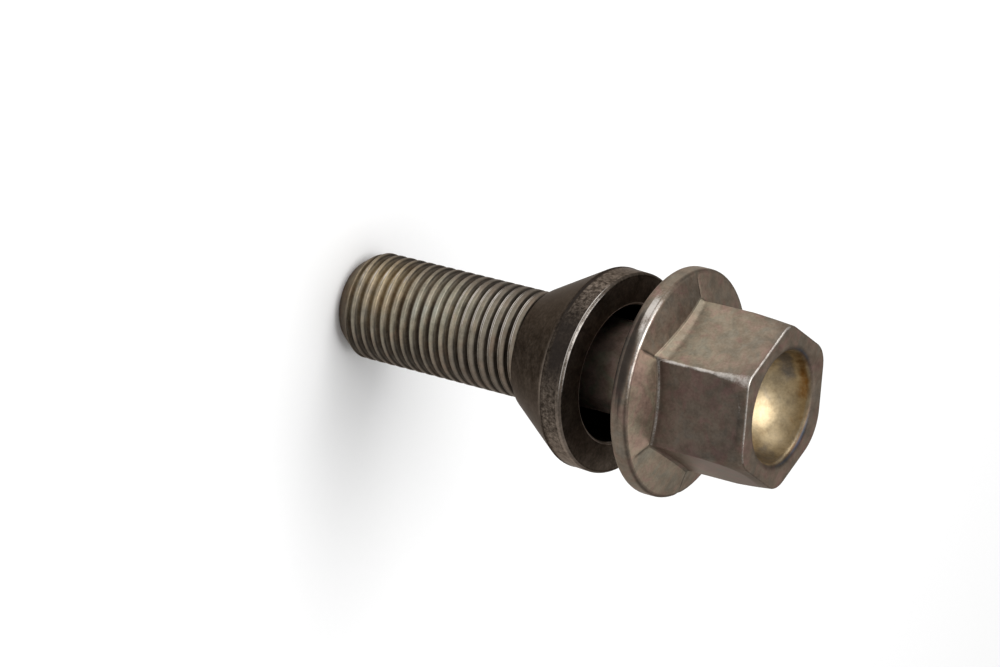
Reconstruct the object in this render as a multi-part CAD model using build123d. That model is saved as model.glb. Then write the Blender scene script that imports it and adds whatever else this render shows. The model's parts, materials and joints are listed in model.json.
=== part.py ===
from build123d import *
import os
from math import asin, degrees, radians, sin, sqrt, tan

# Wheel bolt with a loose conical collar, standing on its threaded end.
# Origin at the centre of the threaded end, +Z up the bolt's axis to the head. Millimetres and degrees.

# Thread and shank
THREAD_D = 13.9            # over the crests of an M14 x 1.5 thread
END_FLAT_D = 10.7          # flat left inside the chamfer of the threaded end
END_CHAMFER_H = 1.9
THREAD_TOP = 26.7          # height of the last full thread
RUNOUT_H = 1.7             # height over which the thread fades into the shank
SHANK_RELIEF = 1.0         # radial step from the thread's crests in to the shank
NECK_CHAMFER = 0.8         # between the shank and the flange

# Flange
FLANGE_SEAT = 46.4         # height of the flange's underside
FLANGE_D = 28.8
FLANGE_RIM_H = 2.3
FLANGE_SLOPE = 17.0        # slope of the coned top
RIM_CHAMFER_TOP = 0.35
RIM_CHAMFER_UNDER = 0.6

# Hex head, crowned towards its end
HEX_ACROSS_FLATS = 19.0
HEAD_H = 13.65             # from the flange's upper edge to the end of the head
HEX_FOOT_ROUND = 0.7       # where the flats meet the flange
CROWN_H = 5.15             # how far down the corners the crown starts
CROWN_END_D = 20.8         # the crown's diameter at the end of the head
HEAD_END_CHAMFER = 0.35

# Cup in the end of the head
CUP_D = 14.1
CUP_DEPTH = 6.8
CUP_LIP_ROUND = 0.9

# Collar, measured along its own axis from its narrow end
COLLAR_D = 25.7
COLLAR_RIM_H = 3.2         # straight rim behind the cone
CONE_ANGLE = 60.0          # included angle of the conical seat
NARROW_WALL = 0.4          # radial wall left at the narrow end
COLLAR_CATCH = 0.25        # radial step by which the bore is held back by the thread
LIP_H = 3.0                # straight bore inside the narrow end
MOUTH_D = 17.5             # wide mouth in the collar's back
MOUTH_CHAMFER = 0.25
COLLAR_BACK_CHAMFER = 0.3

# How the loose collar hangs on the shank
LEAN_SHARE = 0.8           # how much of its play on the shank the collar takes up by leaning
LEAN_DIRECTION = -50.0     # the side to which its back leans
RUNOUT_GAP = 0.2           # between the bore's edge and the thread run-out

THREAD_R = THREAD_D / 2
SHANK_R = THREAD_R - SHANK_RELIEF
BORE_R = THREAD_R - COLLAR_CATCH
RIM_TOP = FLANGE_SEAT + FLANGE_RIM_H
HEAD_TOP = RIM_TOP + HEAD_H
HEX_CORNER_R = HEX_ACROSS_FLATS / sqrt(3)


def turned(outline):
    """Solid of revolution about Z from a closed outline drawn as (radius, height)."""
    return revolve(Plane.XZ * make_face(outline), Axis.Z)


def stem():
    """Thread, run-out, shank and coned flange, turned as one."""
    flange_r = FLANGE_D / 2
    rise = tan(radians(FLANGE_SLOPE))
    outline = Polyline(
        (0, 0),
        (END_FLAT_D / 2, 0),
        (THREAD_R, END_CHAMFER_H),
        (THREAD_R, THREAD_TOP),
        (SHANK_R, THREAD_TOP + RUNOUT_H),
        (SHANK_R, FLANGE_SEAT - NECK_CHAMFER),
        (SHANK_R + NECK_CHAMFER, FLANGE_SEAT),
        (flange_r - RIM_CHAMFER_UNDER, FLANGE_SEAT),
        (flange_r, FLANGE_SEAT + RIM_CHAMFER_UNDER),
        (flange_r, RIM_TOP - RIM_CHAMFER_TOP),
        (flange_r - RIM_CHAMFER_TOP, RIM_TOP + RIM_CHAMFER_TOP * rise),
        (0, RIM_TOP + flange_r * rise),
        close=True,
    )
    return turned(outline)


def crown():
    """Round envelope that draws the hex corners in towards the end of the head."""
    crown_foot = (HEX_CORNER_R, HEAD_TOP - CROWN_H)
    crown_end = (CROWN_END_D / 2, HEAD_TOP - HEAD_END_CHAMFER)
    end_edge = (CROWN_END_D / 2 - HEAD_END_CHAMFER, HEAD_TOP)
    bow = TangentArc(crown_foot, crown_end, tangent=(0, 1))
    seat_edge = (HEX_CORNER_R, FLANGE_SEAT)
    rest = Polyline(crown_end, end_edge, (0, HEAD_TOP), (0, FLANGE_SEAT), seat_edge, crown_foot)
    return turned(bow + rest)


def hex_head():
    """Crowned hexagon with its flats across X and its corners on Y."""
    flats = RegularPolygon(HEX_CORNER_R, 6, rotation=90)
    prism = extrude(Plane.XY.offset(FLANGE_SEAT) * flats, HEAD_TOP - FLANGE_SEAT)
    end_edges = prism.faces().sort_by(Axis.Z)[-1].edges()
    return chamfer(end_edges, HEAD_END_CHAMFER) & crown()


def cup():
    """Round bowl sunk in the end of the head."""
    bowl_r = ((CUP_D / 2) ** 2 + CUP_DEPTH ** 2) / (2 * CUP_DEPTH)
    return Pos(0, 0, HEAD_TOP - CUP_DEPTH + bowl_r) * Sphere(bowl_r)


def bolt():
    """The whole forging: stem and head, with the rounds at the hex's foot and the cup's lip."""
    blank = stem() + hex_head()
    low_edges = blank.edges().filter_by_position(Axis.Z, RIM_TOP, HEAD_TOP - CROWN_H)
    flats_on_cone = low_edges.filter_by(GeomType.HYPERBOLA)
    forged = fillet(flats_on_cone, HEX_FOOT_ROUND) - cup()
    lip = forged.edges().filter_by(GeomType.CIRCLE).sort_by_distance((CUP_D / 2, 0, HEAD_TOP))[0]
    return fillet(lip, CUP_LIP_ROUND)


def collar():
    """Conical seat ring on its own axis, narrow end down at the origin."""
    flare = tan(radians(CONE_ANGLE / 2))
    rim_r = COLLAR_D / 2
    mouth_r = MOUTH_D / 2
    narrow_r = BORE_R + NARROW_WALL
    cone_h = (rim_r - narrow_r) / flare
    back = cone_h + COLLAR_RIM_H
    outline = Polyline(
        (BORE_R, 0),
        (narrow_r, 0),
        (rim_r, cone_h),
        (rim_r, back - COLLAR_BACK_CHAMFER),
        (rim_r - COLLAR_BACK_CHAMFER, back),
        (mouth_r + MOUTH_CHAMFER, back),
        (mouth_r, back - MOUTH_CHAMFER),
        (mouth_r, LIP_H + (mouth_r - BORE_R) / flare),
        (BORE_R, LIP_H),
        close=True,
    )
    return turned(outline)


def hung(ring):
    """Sets the collar on the thread run-out, slipped aside so that its bore's edge leans on that cone."""
    runout_slope = RUNOUT_H / SHANK_RELIEF
    play = BORE_R - SHANK_R
    lean = asin(LEAN_SHARE * play / (BORE_R / runout_slope + LIP_H))
    slip = BORE_R * sin(lean) / runout_slope
    foot = THREAD_TOP + runout_slope * COLLAR_CATCH + RUNOUT_GAP
    return Rot(Z=LEAN_DIRECTION) * Pos(slip, 0, foot) * Rot(Y=degrees(lean)) * ring


os.makedirs("parts", exist_ok=True)
export_step(bolt(), "parts/bolt.step")
export_step(hung(collar()), "parts/collar.step")
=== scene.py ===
import json
import math

import bpy
import numpy as np
from bpy.props import FloatProperty, FloatVectorProperty, PointerProperty
from mathutils import Matrix, Vector


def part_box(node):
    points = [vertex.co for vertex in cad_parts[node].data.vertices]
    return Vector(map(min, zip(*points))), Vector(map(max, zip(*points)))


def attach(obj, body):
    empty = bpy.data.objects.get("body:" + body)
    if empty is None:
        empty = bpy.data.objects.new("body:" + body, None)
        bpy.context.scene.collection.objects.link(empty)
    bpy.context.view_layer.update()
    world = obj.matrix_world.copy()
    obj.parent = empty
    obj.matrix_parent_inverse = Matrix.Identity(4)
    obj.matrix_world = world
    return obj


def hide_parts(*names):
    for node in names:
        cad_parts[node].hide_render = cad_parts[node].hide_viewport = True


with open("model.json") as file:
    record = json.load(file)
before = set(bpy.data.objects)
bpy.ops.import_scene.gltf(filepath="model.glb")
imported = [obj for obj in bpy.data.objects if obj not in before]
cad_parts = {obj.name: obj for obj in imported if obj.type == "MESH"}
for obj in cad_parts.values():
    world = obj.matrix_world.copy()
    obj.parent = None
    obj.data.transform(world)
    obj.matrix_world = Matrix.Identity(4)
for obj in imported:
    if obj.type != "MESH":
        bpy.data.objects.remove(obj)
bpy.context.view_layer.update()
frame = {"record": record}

bl_info = {
    "name": "Wheel Bolt",
    "version": (1, 0, 0),
    "blender": (4, 5, 0),
    "location": "3D View > Sidebar > Wheel Bolt",
    "description": "Dresses a wheel bolt and its loose collar as plated steel on a pale floor",
    "category": "Add Mesh",
}

# What the packed frame says. Its +Z runs up the bolt's axis, from the threaded end to the head.
MM = 0.001
mounts = {mount["name"]: mount for mount in frame["record"]["mounts"]}
thread_middle = mounts["thread"]["pos_m"][2]
thread_half_length = mounts["thread"]["dims"]["length_mm"] * MM / 2
thread_radius = mounts["thread"]["dims"]["r_mm"] * MM
bolt_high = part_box("bolt")[1]
# The dressed thread has a slightly taller chamfer than the solid, and one more turn below the collar.
thread_foot = thread_middle - thread_half_length + 0.4 * MM
thread_top = thread_middle + thread_half_length + 1.5 * MM

SIXTH = math.radians(60)
FULL_TURN = math.radians(360)
# What a mesh carries for its material: rubbed edges and painted highlights, painted shade and painted dark
# reflections, golden film with painted golden highlights, the film's thickness with painted light and shade,
# and its cast.
# On the collar gilt is pale dust and painted light, and film is how mottled it is, with painted light and
# shade.
MARKS = ("wear", "recess", "gilt", "film", "hue")


# Property kinds
def length(name, default, description):
    """A length in metres that the sidebar shows in the scene's units."""
    return FloatProperty(name=name, description=description, default=default, unit="LENGTH", precision=5)


def angle(name, degrees, description):
    """An angle, given here in degrees."""
    default = math.radians(degrees)
    return FloatProperty(name=name, description=description, default=default, subtype="ANGLE")


def colour(name, default, description):
    """A colour in linear light."""
    limits = {"size": 3, "min": 0, "max": 1, "subtype": "COLOR"}
    return FloatVectorProperty(name=name, description=description, default=default, **limits)


# Sizes and finishes that a user would change
class BoltThread(bpy.types.PropertyGroup):
    """The rolled right-hand thread and its ends."""

    crest_radius: length("Crest radius", thread_radius, "From the axis to the thread's crests")
    pitch: length("Pitch", 1.5 * MM, "Rise of the thread in one turn")
    depth: length("Depth", 0.82 * MM, "From the crests to the roots")
    crest_flat: length("Crest width", 0.42 * MM, "Width of a crest at the threaded end")
    late_crest_flat: length("Late crest width", 0.84 * MM, "Width of a crest beside the run-out")
    seam_depth: length("Crest seam", 0.09 * MM, "Depth of the rolling seam along the late crests")
    foot: length("Chamfer height", thread_foot, "Height of the first full crest")
    top: length("Thread top", thread_top, "Height of the last full crest")
    runout: length("Run-out", 1.7 * MM, "Height over which the thread fades into the shank")
    end_radius: length("End radius", 5.35 * MM, "Radius of the flat threaded end inside its chamfer")
    crest_height: length("Crest height", 3.18 * MM, "Height of a crest on the side that faces the camera")
    crest_side: angle("Crest side", -79.1, "Direction of the side on which that crest lies")


class BoltHead(bpy.types.PropertyGroup):
    """Shank, flange, crowned hex and cup."""

    shank_radius: length("Shank radius", 5.95 * MM, "Radius of the plain shank")
    shank_foot: length("Shank foot", 30.8 * MM, "Height at which the plain shank starts")
    neck_round: length("Neck round", 0.8 * MM, "Round between shank and flange")
    flange_seat: length("Flange seat", 46.4 * MM, "Height of the flange's underside")
    flange_radius: length("Flange radius", bolt_high.x, "Radius of the flange's rim")
    rim_height: length("Rim height", 2.3 * MM, "Height of the flange's rim")
    rim_round_under: length("Lower rim round", 0.7 * MM, "Round at the rim's lower edge")
    rim_round_top: length("Upper rim round", 0.4 * MM, "Round at the rim's upper edge")
    # Wear and a painted highlight on the rim's upper edge
    rim_wear_side: angle("Rim wear side", 264, "Direction in which the rim's upper edge is rubbed bare")
    # Painted highlight on the rim, as bare steel
    rim_shine_side: angle("Rim shine side", 252, "Direction in which the rim itself is rubbed bright")
    flange_slope: angle("Flange slope", 17, "Slope of the coned top of the flange")
    crease_depth: length("Crease depth", 0.06 * MM, "Depth of the six creases from the hex corners")
    crease_width: length("Crease width", 0.16 * MM, "Half width of a crease")
    panel_swell: length("Panel swell", 0.03 * MM, "How far the flange swells between two creases")
    apothem: length("Half across flats", 9.5 * MM, "From the axis to a flat of the hex")
    corner_round: length("Corner round", 0.32 * MM, "Round along the hex's six upright edges")
    edge_wear_width: length("Edge wear width", 0.2 * MM, "Half width of the wear on an upright edge")
    foot_slope: angle("Foot slope", 23, "Slope of the strip where a flat flares out to the flange")
    foot_height: length("Foot height", 0.4 * MM, "Height of that strip")
    foot_rise: length("Foot rise", 0.95 * MM, "How much taller the strip is at one corner")
    strip_side: angle("Strip side", 240, "Direction of the flat with the tall strip")
    crown_height: length("Crown height", 4.6 * MM, "How far down the corners the crown starts")
    end_bevel: length("End bevel", 0.7 * MM, "Height of the bevel between a flat and the end")
    end_apothem: length("End half width", 9.36 * MM, "From the axis to the flats' edge at the end")
    end_shift: length("End shift", 0.12 * MM, "How far off the axis the crown was turned")
    end_shift_side: angle("End shift side", 115, "Direction of that shift")
    end_round: length("End round", 0.26 * MM, "Round between the crown and the end face")
    cup_radius: length("Cup radius", 7.05 * MM, "Radius of the cup's mouth")
    cup_depth: length("Cup depth", 6.8 * MM, "Depth of the cup")
    lip_round: length("Lip round", 0.85 * MM, "Round at the cup's lip")
    top: length("Head top", bolt_high.z, "Height of the end face")
    nick_side: angle("Nick side", 31, "Direction of the nick in the flange's rim")
    nick_depth: length("Nick depth", 0.07 * MM, "Depth of that nick")
    burr_side: angle("Burr side", -44, "Direction of the burr on the cup's lip")
    burr_height: length("Burr height", 0.22 * MM, "How far that burr stands in from the lip")


class SeatCollar(bpy.types.PropertyGroup):
    """The loose conical ring, along its own axis from its narrow end."""

    bore_radius: length("Bore radius", 6.7 * MM, "Radius of the bore at the narrow end")
    narrow_wall: length("Narrow wall", 0.4 * MM, "Radial wall where the uncut cone would end")
    nose_cut: length("Nose cut", 1.9 * MM, "How much the cone's thin end is cut short")
    rim_radius: length("Rim radius", 12.85 * MM, "Radius of the straight rim")
    rim_height: length("Rim height", 3.2 * MM, "Height of the straight rim behind the cone")
    cone_half_angle: angle("Cone half angle", 30, "Half of the cone's included angle")
    rim_step: length("Rim step", 0.05 * MM, "Step from the end of the cone in to the rim")
    back_chamfer: length("Back chamfer", 0.3 * MM, "Chamfer at the rim's back edge")
    mouth_radius: length("Mouth radius", 8.75 * MM, "Radius of the wide mouth in the back")
    mouth_chamfer: length("Mouth chamfer", 0.25 * MM, "Chamfer at the mouth")
    lip_height: length("Lip height", 3.0 * MM, "Height of the straight bore")
    edge_round: length("Edge round", 0.1 * MM, "Length of the rounds on the turned edges")
    # Wear and a painted highlight on the back edge
    wear_side: angle("Wear side", -93, "Direction in which the back edge is rubbed bare")


class PlatedFinish(bpy.types.PropertyGroup):
    """Colours of the plating in linear light."""

    pale: colour("Pale", (0.37, 0.342, 0.292), "Thinnest film over the zinc")
    straw: colour("Straw", (0.282, 0.237, 0.179), "Thin film")
    bronze: colour("Bronze", (0.197, 0.156, 0.122), "Film of middling thickness")
    brown: colour("Brown", (0.123, 0.095, 0.076), "Thick film")
    plum: colour("Plum", (0.079, 0.063, 0.053), "Thicker film")
    slate: colour("Slate", (0.036, 0.045, 0.064), "Thickest film")
    gold: colour("Gold", (0.42, 0.332, 0.205), "Clean film in the cup")
    # Painted warm interreflection on the cup's wall
    amber: colour("Amber", (0.22, 0.118, 0.037), "Warmer film on the cup's wall")
    # Painted dark reflection in the cup
    moss: colour("Moss", (0.205, 0.185, 0.165), "Duller film low in the cup")
    # Colour of the painted shade and the painted dark reflections
    grime: colour("Grime", (0.022, 0.018, 0.016), "Oil and dust in the hollows")
    # Also the colour of the painted highlights
    bare: colour("Bare", (0.56, 0.52, 0.48), "Steel rubbed bare on the edges")
    collar_tone: colour("Collar tone", (0.019, 0.0142, 0.0105), "The collar's darker film")
    # Also the colour of the collar's painted light
    collar_scale: colour("Collar scale", (0.2, 0.162, 0.132), "Paler mottling on the collar")


class StudioStage(bpy.types.PropertyGroup):
    """Camera, lamps and floor."""

    aim: FloatVectorProperty(
        name="Aim",
        description="Point in the middle of the picture",
        default=(0.53 * MM, -4.61 * MM, 23.85 * MM),
        subtype="TRANSLATION",
        precision=5,
    )
    distance: length("Distance", 510.8 * MM, "From the camera to that point")
    heading: angle("Heading", 100.92, "Direction in which the camera looks, from +X")
    dip: angle("Dip", 30.77, "How far the camera looks down")
    roll: angle("Roll", 104.19, "How far the camera is turned about its line of sight")
    lens: FloatProperty(name="Lens", description="Focal length in millimetres", default=147.39)
    floor_tone: colour("Floor tone", (0.93, 0.93, 0.93), "Pale floor")
    room_tone: colour("Room tone", (0.52, 0.52, 0.52), "Even light from all round")


# Meshes
def smooth_step(low, high, value):
    """Rises smoothly from 0 at low to 1 at high."""
    way = np.clip((value - low) / (high - low), 0.0, 1.0)
    return way * way * (3.0 - 2.0 * way)


def turn_from(angles, side):
    """Signed angle from a direction, within half a turn."""
    return np.mod(angles - side + math.pi, FULL_TURN) - math.pi


def facing(angles, side, spread):
    """1 towards a direction, fading to 0 at a spread to both sides of it."""
    return 1.0 - smooth_step(0.0, spread, np.abs(turn_from(angles, side)))


def patch(angles, place):
    """The same for a patch that is named by its direction and spread in degrees."""
    side, spread = np.radians(place)
    return facing(angles, side, spread)


def band(value, place, width):
    """1 at a place, fading to both sides of it."""
    return np.exp(-((value - place) / width) ** 2)


def bend_shares(way):
    """Shares of a bend's start, corner and end, part of the way round it."""
    return (1 - way) ** 2, 2 * way * (1 - way), way ** 2


def round_axis(angles, radius, height):
    """Points at a radius and height in every direction, rows by columns by three."""
    return np.stack([radius * np.cos(angles), radius * np.sin(angles), height], axis=2)


class Outline:
    """Stations along a turned piece's outline, each a radius and a height for every column round it."""

    def __init__(self, columns):
        self.columns = columns
        self.radius = []
        self.height = []
        self.marks = {name: [] for name in MARKS}

    def whole(self, value):
        """The value spread over every column."""
        return np.broadcast_to(np.asarray(value, float), (self.columns,))

    def station(self, radius, height, **marks):
        """One more station."""
        self.radius.append(self.whole(radius))
        self.height.append(self.whole(height))
        for name in MARKS:
            self.marks[name].append(self.whole(marks.get(name, 0.0)))

    def line(self, radius, height, shares, **marks):
        """Stations at the given shares of the way on to a point."""
        start_radius, start_height = self.radius[-1], self.height[-1]
        for way in shares:
            at_radius = start_radius + (radius - start_radius) * way
            at_height = start_height + (height - start_height) * way
            self.station(at_radius, at_height, **marks)

    def bend(self, corner, end, count, **marks):
        """Stations round a corner to the bend's end, with wear, painted highlights and painted shade
        strongest in the middle.
        """
        start_radius, start_height = self.radius[-1], self.height[-1]
        for step in range(1, count + 1):
            way = step / count
            near, middle, far = bend_shares(way)
            at_radius = near * start_radius + middle * corner[0] + far * end[0]
            at_height = near * start_height + middle * corner[1] + far * end[1]
            strength = math.sin(math.pi * way) ** 0.7 if step < count else 0.0
            swelling = {name: marks[name] * strength for name in ("wear", "recess") if name in marks}
            self.station(at_radius, at_height, **{**marks, **swelling})

    def points(self, angles):
        """The stations as points."""
        return round_axis(angles, np.array(self.radius), np.array(self.height))

    def marked(self):
        """The marks as arrays, stations by columns."""
        return {name: np.array(rows) for name, rows in self.marks.items()}


class Skin:
    """Points, faces and marks of one mesh, gathered before it is made."""

    def __init__(self):
        self.points = []
        self.faces = []
        self.marks = {name: [] for name in MARKS}
        self.count = 0

    def add(self, points, marks):
        """Adds a grid of points and gives their numbers in the same layout."""
        rows, columns = points.shape[:2]
        numbers = self.count + np.arange(rows * columns).reshape(rows, columns)
        self.points.append(points.reshape(-1, 3))
        for name in MARKS:
            self.marks[name].append(np.broadcast_to(marks.get(name, 0.0), (rows, columns)).reshape(-1))
        self.count += rows * columns
        return numbers

    def face(self, *corners):
        """Adds a face, leaving out corners that fall together."""
        kept = [corner for place, corner in enumerate(corners) if corner != corners[place - 1]]
        if len(set(kept)) >= 3:
            self.faces.append(kept)

    def wrap(self, lower, upper):
        """Faces between two rings with the same number of points."""
        for here in range(len(lower)):
            after = (here + 1) % len(lower)
            self.face(lower[here], lower[after], upper[after], upper[here])

    def wrap_all(self, rings):
        """Faces between each ring and the next."""
        for lower, upper in zip(rings[:-1], rings[1:]):
            self.wrap(lower.tolist(), upper.tolist())

    def stitch(self, lower, lower_angles, upper, upper_angles):
        """Triangles between two rings with different numbers of points, both in order of angle."""
        low, high = 0, 0
        low_ends = np.append(lower_angles[1:], FULL_TURN)
        high_ends = np.append(upper_angles[1:], FULL_TURN)
        while low < len(lower) or high < len(upper):
            here, there = lower[low % len(lower)], upper[high % len(upper)]
            low_first = high == len(upper) or (low < len(lower) and low_ends[low] <= high_ends[high])
            if low_first:
                low += 1
                self.face(here, lower[low % len(lower)], there)
            else:
                high += 1
                self.face(here, upper[high % len(upper)], there)

    def close(self, tip, ring, at_foot):
        """Closes a ring with triangles to one point, below it at the foot or above it."""
        for here in range(len(ring)):
            after = (here + 1) % len(ring)
            if at_foot:
                self.face(tip, ring[after], ring[here])
            else:
                self.face(ring[here], ring[after], tip)

    def piece(self, name, material):
        """Makes the object."""
        mesh = bpy.data.meshes.new(name)
        mesh.from_pydata(np.concatenate(self.points).tolist(), [], self.faces)
        for kind in MARKS:
            layer = mesh.attributes.new(kind, "FLOAT", "POINT")
            layer.data.foreach_set("value", np.concatenate(self.marks[kind]).astype(np.float32))
        mesh.shade_smooth()
        mesh.materials.append(material)
        made = bpy.data.objects.new(name, mesh)
        bpy.context.scene.collection.objects.link(made)
        bpy.context.view_layer.update()
        return made


# The thread
THREAD_COLUMNS = 120
# Stations across one turn, as shares of the pitch from a crest's middle
CREST_STATIONS = (
    -0.5, -0.45, -0.4, -0.34, -0.3, -0.27, -0.24, -0.21, -0.175, -0.14, -0.11,
    -0.07, 0.0, 0.09, 0.14, 0.18, 0.23, 0.28, 0.34, 0.4, 0.45,
)
FLANK_SLOPE = math.tan(math.radians(30))
THREAD_SOFTNESS = 0.06 * MM
PLAIN_END = 0.95 * MM
# Heights between which the crests widen, as shares of the thread's top
LATE_TURNS = (0.42, 0.85)
# Lines along a late crest, as shares of half its width: the rolling seam and the two rubbed lines beside it,
# which carry painted highlights too
SEAM_PLACE = -0.62
RUBBED_LINES = (-0.88, -0.38)
RUBBED_LINE_WIDTH = 0.036
FILM_ON_THREAD = 0.55
# Painted light: the lighter tone of the thread's lit side
FILM_ON_LIT_THREAD = 0.06
FILM_ON_THREAD_END = 0.5
HUE_OF_THREAD = -0.17
# Heights over which the film of the threaded end gives way, and over which the painted light on the lit side
# fades
END_FILM_FADE = (1.7 * MM, 2.5 * MM)
THIN_FILM_FADE = (12 * MM, 26 * MM)
# Middle and half width of the golden turns, which carry a painted golden highlight, and of the blued ones
GOLDEN_TURNS = (6 * MM, 4.5 * MM)
BLUED_TURNS = (12 * MM, 5 * MM)
# Patches on the thread, each a direction and a spread in degrees
# Painted light: the lit side, where rubbed lines are brighter and grooves less dark
LIT_THREAD = (-98, 62)
# Painted highlight: the side where the crests glint
GLINT_ON_THREAD = (-108, 36)
# Painted light on the side towards the lamps
THIN_ON_THREAD = (-92, 85)
# Painted shade on one side of the thread
SHADED_THREAD = (190, 56)
# Golden tint with a painted golden highlight, on the side towards the lamps
GOLDEN_THREAD = (-105, 62)
BLUED_THREAD = (-75, 60)


def half_crest(thread, late):
    """Half of a crest's width as a share of the pitch."""
    return 0.5 * (thread.crest_flat + (thread.late_crest_flat - thread.crest_flat) * late) / thread.pitch


def thread_depth(thread, phase, late):
    """Depth of the surface below the crests, at a phase from -0.5 to 0.5 of the pitch about a crest."""
    half = half_crest(thread, late)
    flank = (np.abs(phase) - half) * thread.pitch / FLANK_SLOPE
    rising = 0.5 * (flank + np.sqrt(flank ** 2 + THREAD_SOFTNESS ** 2))
    over = thread.depth - rising
    depth = thread.depth - 0.5 * (over + np.sqrt(over ** 2 + THREAD_SOFTNESS ** 2))
    return np.maximum(depth, 0.0) + thread.seam_depth * late * band(phase, SEAM_PLACE * half, 0.03)


def thread_envelope(thread, shank_radius, height):
    """Radius of the turned blank: chamfer, full thread, run-out and shank."""
    chamfer = thread.end_radius + (thread.crest_radius - thread.end_radius) * height / thread.foot
    fade = (height - thread.top) / thread.runout
    runout = thread.crest_radius - (thread.crest_radius - shank_radius) * fade
    blank = np.minimum(np.minimum(chamfer, runout), thread.crest_radius)
    return np.maximum(blank, np.minimum(shank_radius, chamfer))


def thread_marks(thread, angles, height, across, groove, late):
    """Wear and painted highlights on the crests, painted shade in the grooves, and the film with painted
    light and shade, its golden and its blued turns.
    """
    half = half_crest(thread, late)
    lit, glint = patch(angles, LIT_THREAD), patch(angles, GLINT_ON_THREAD)
    golden = band(height, *GOLDEN_TURNS)
    blued = band(height, *BLUED_TURNS) * patch(angles, BLUED_THREAD)
    # Rubbed lines along the late crests, brightened on the lit and glint sides as painted highlights, and a
    # painted golden highlight on the first crests
    lines = sum(band(across, line * half, RUBBED_LINE_WIDTH) for line in RUBBED_LINES)
    golden_crest = 1.1 * golden * glint * band(across, 0.0, 0.09)
    wear = late * lines * (0.3 + 0.8 * lit + 1.2 * glint) + golden_crest
    wear = wear * (1 - smooth_step(0.15, 0.3, groove))
    # Film with painted light and shade: lighter towards the lamps, thicker at the end, painted shade on one
    # side and in the grooves
    thinned = patch(angles, THIN_ON_THREAD) * (1 - 0.5 * smooth_step(*THIN_FILM_FADE, height))
    film = FILM_ON_THREAD + (FILM_ON_LIT_THREAD - FILM_ON_THREAD) * thinned
    film = film + (FILM_ON_THREAD_END - film) * (1 - smooth_step(*END_FILM_FADE, height))
    film = film + 0.06 * late + 0.16 * patch(angles, SHADED_THREAD) + (0.12 + 0.5 * blued) * groove ** 1.5
    # Golden tint and painted golden highlight on the first turns
    gilt = 0.7 * golden * patch(angles, GOLDEN_THREAD)
    film = film + 0.5 * gilt
    # Painted shade and painted dark reflection on the flanks, painted shade in the roots and along the seam
    down = np.clip((np.abs(across) - half) / (0.5 - half), 0.0, 1.0)
    flank = smooth_step(0.0, 0.08, down) * (1 - smooth_step(0.24, 0.4, down) * (1 - 0.7 * late))
    root = smooth_step(0.78, 0.95, down)
    hollow = np.maximum(0.95 * flank, root) * smooth_step(0.03, 0.15, groove)
    hollow = hollow * (1 - 0.5 * blued) * (1 - 0.4 * golden * lit)
    seam = 0.9 * late * band(across, SEAM_PLACE * half, 0.026) * (groove < 0.3)
    recess = np.maximum(hollow, seam)
    return {"wear": wear, "recess": recess, "film": film, "gilt": gilt, "hue": HUE_OF_THREAD}


def lay_thread(skin, thread, shank_radius):
    """Lays the helical thread from a plain ring near its end to one on the shank, and gives both rings."""
    angles = np.arange(THREAD_COLUMNS) * FULL_TURN / THREAD_COLUMNS
    per_turn = len(CREST_STATIONS)
    low_end, high_end = PLAIN_END, thread.top + thread.runout
    crest = thread.crest_height - thread.pitch * thread.crest_side / FULL_TURN
    crest -= thread.pitch * math.ceil((crest - low_end) / thread.pitch + 1)
    turns = math.ceil((high_end - crest) / thread.pitch) + 2
    phase = np.tile(CREST_STATIONS, turns)
    climb = crest + thread.pitch * (np.repeat(np.arange(turns), per_turn) + phase)
    height = climb[:, None] + thread.pitch * angles[None, :] / FULL_TURN
    below, above = height <= low_end, height >= high_end
    height = np.clip(height, low_end, high_end)
    late = smooth_step(LATE_TURNS[0] * thread.top, LATE_TURNS[1] * thread.top, height)
    across = phase[:, None]
    envelope = thread_envelope(thread, shank_radius, height)
    radius = np.minimum(thread.crest_radius - thread_depth(thread, across, late), envelope)
    groove = np.clip((envelope - radius) / thread.depth, 0.0, 1.0)
    marks = thread_marks(thread, angles, height, across, groove, late)
    numbers = skin.add(round_axis(angles, radius, height), marks)
    first, last = below.sum(axis=0) - 1, above.argmax(axis=0)
    columns = np.arange(THREAD_COLUMNS)
    numbers = np.where(below, numbers[first, columns], numbers)
    numbers = np.where(above, numbers[last, columns], numbers)
    grid = numbers.tolist()
    for column in range(THREAD_COLUMNS):
        seam = column == THREAD_COLUMNS - 1
        after, lift = (0, per_turn) if seam else (column + 1, 0)
        for here in range(len(grid) - 1 - lift):
            there = here + lift
            skin.face(grid[here][column], grid[there][after], grid[there + 1][after], grid[here + 1][column])
    return numbers[first, columns].tolist(), numbers[last, columns].tolist(), angles


def lay_thread_end(skin, thread, ring, angles):
    """Flat threaded end and the plain part of its chamfer, up to the ring where the thread starts."""
    outline = Outline(THREAD_COLUMNS)
    edge = 0.25 * MM
    slope = (thread.crest_radius - thread.end_radius) / thread.foot
    tone = FILM_ON_THREAD_END
    chamfer_start = (thread.end_radius + slope * edge, edge)
    innermost = 0.15 * thread.end_radius
    outline.station(innermost, 0.0, film=tone)
    outline.line(thread.end_radius - edge, 0.0, (0.5, 0.95, 1), film=tone)
    outline.bend((thread.end_radius, 0.0), chamfer_start, 5, wear=0.5, film=tone)
    numbers = skin.add(outline.points(angles), outline.marked())
    tip = skin.add(np.zeros((1, 1, 3)), {"film": tone})
    skin.close(int(tip[0, 0]), numbers[0].tolist(), at_foot=True)
    skin.wrap_all(numbers)
    skin.wrap(numbers[-1].tolist(), ring)


# The head
# Columns on half a flat, in degrees from its middle, and on half of a rounded corner
HALF_FLAT = (0.0, 4.0, 8.0, 12.0, 16.0, 20.0, 23.5, 26.0, 27.7, 28.6)
CORNER_COLUMNS = 5
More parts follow.
